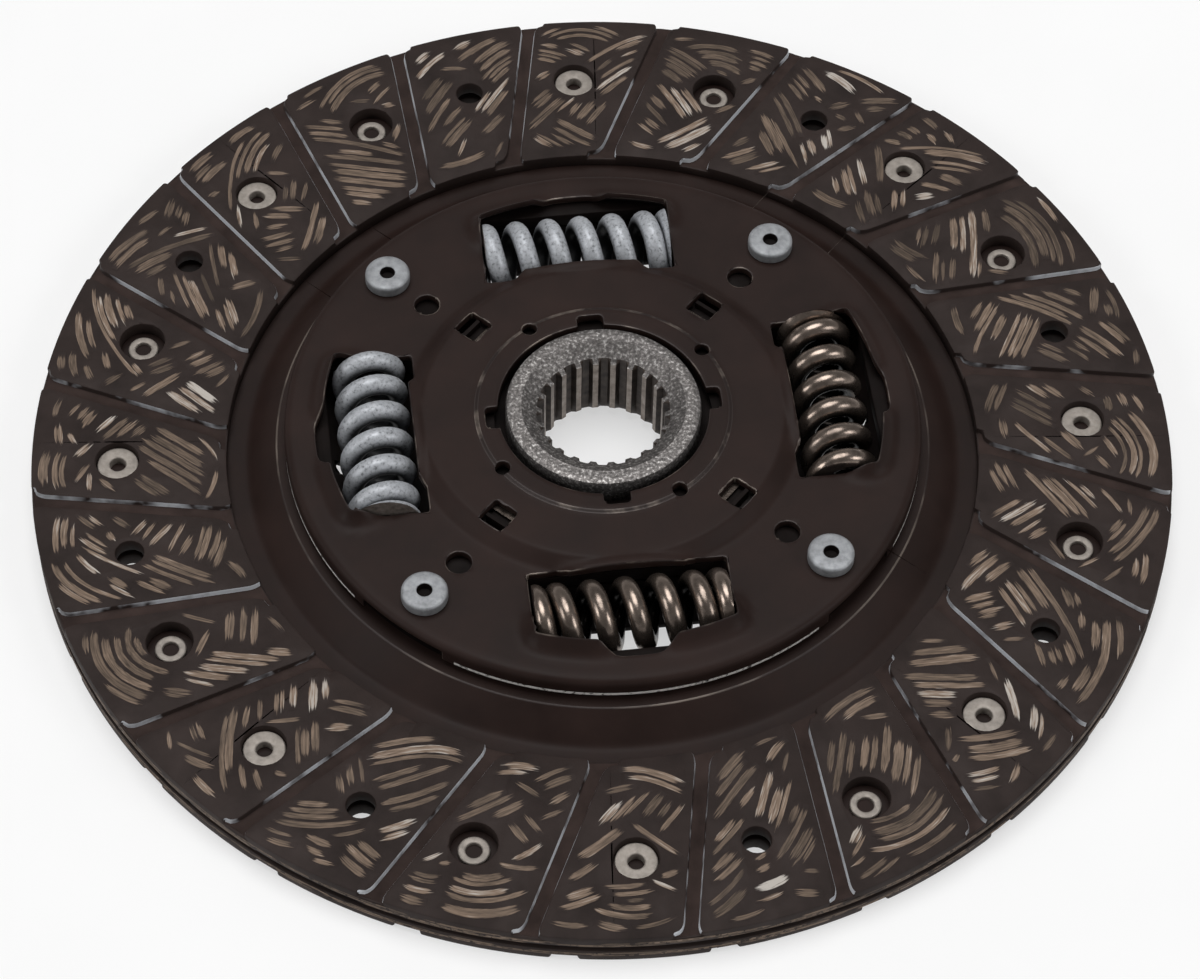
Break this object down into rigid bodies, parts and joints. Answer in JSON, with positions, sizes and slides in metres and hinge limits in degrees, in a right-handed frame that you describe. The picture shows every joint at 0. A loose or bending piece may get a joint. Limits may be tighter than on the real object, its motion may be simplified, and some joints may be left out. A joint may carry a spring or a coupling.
{
  "type": "clutch disc",
  "caption": "Clutch driven disc with riveted grooved friction facings, a sprung damper under a domed black plate and a splined hub.",
  "frame": {"origin": "on the disc's axis, in the plane of the lower friction face", "axes": "+Z along the axis, out of the domed side; +X and +Y each pass through the middle of a spring window"},
  "size_m": [0.2, 0.2, 0.017],
  "materials": {
    "facing": "moulded yarn in resin, dry",
    "black_steel": "satin black phosphated steel",
    "zinc_steel": "zinc plated",
    "rivet": "plated, dull",
    "light_spring": "bare spring steel",
    "dark_spring": "oiled dark spring steel",
    "hub_steel": "shot-blasted",
    "friction_ring": "moulded"
  },
  "bodies": {
    "plates": {"upper_facing": "facing", "lower_facing": "facing", "upper_facing_rivets": "rivet", "lower_facing_rivets": "rivet", "driven_plate": "black_steel", "retainer_plate": "black_steel", "stop_pin_1": "zinc_steel", "stop_pin_2": "zinc_steel", "stop_pin_3": "zinc_steel", "stop_pin_4": "zinc_steel", "upper_friction_washer": "friction_ring", "thrust_plate": "black_steel", "disc_spring": "light_spring", "lower_friction_washer": "friction_ring", "centring_bush": "friction_ring"},
    "hub": {"splined_hub": "hub_steel"},
    "springs": {"light_spring_1": "light_spring", "light_spring_2": "light_spring", "dark_spring_1": "dark_spring", "dark_spring_2": "dark_spring"}
  },
  "joints": [
    {"name": "damper_twist", "type": "hinge", "parent": "plates", "child": "hub", "pos_m": [0, 0, 0.0105], "axis": [0, 0, 1], "range_deg": [-8, 8], "stiffness_Nm_per_rad": 800, "deforming": ["light_spring_1", "light_spring_2", "dark_spring_1", "dark_spring_2"]},
    {"name": "spring_shift", "type": "hinge", "parent": "plates", "child": "springs", "pos_m": [0, 0, 0.0105], "axis": [0, 0, 1], "range_deg": [-4, 4]}
  ],
  "couplings": [
    {"joint": "spring_shift", "follows": "damper_twist", "ratio": 0.5}
  ]
}
